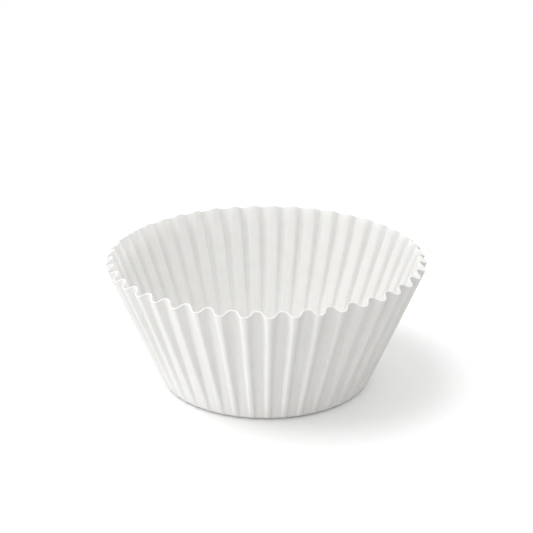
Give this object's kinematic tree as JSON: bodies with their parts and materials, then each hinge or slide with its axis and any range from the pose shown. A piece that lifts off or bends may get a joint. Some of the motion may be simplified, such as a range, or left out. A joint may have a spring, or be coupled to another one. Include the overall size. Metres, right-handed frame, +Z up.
{
  "type": "cupcake liner",
  "caption": "Round paper cup with a flat floor and a fluted, outward-leaning wall that lines the hollow of a baking tin and holds a cupcake.",
  "frame": {"origin": "centre of the underside of the flat floor, on the surface that the liner stands on", "axes": "+Z up along the cup's axis, out of its open mouth; +X through the outside of a flute's ridge; +Y 90 degrees from it, through the ridge eleven flutes on"},
  "size_m": [0.075, 0.075, 0.031],
  "materials": {
    "greaseproof_paper": "matte white uncoated greaseproof paper, slightly translucent"
  },
  "bodies": {
    "root": {"paper_liner": "greaseproof_paper"}
  },
  "joints": []
}
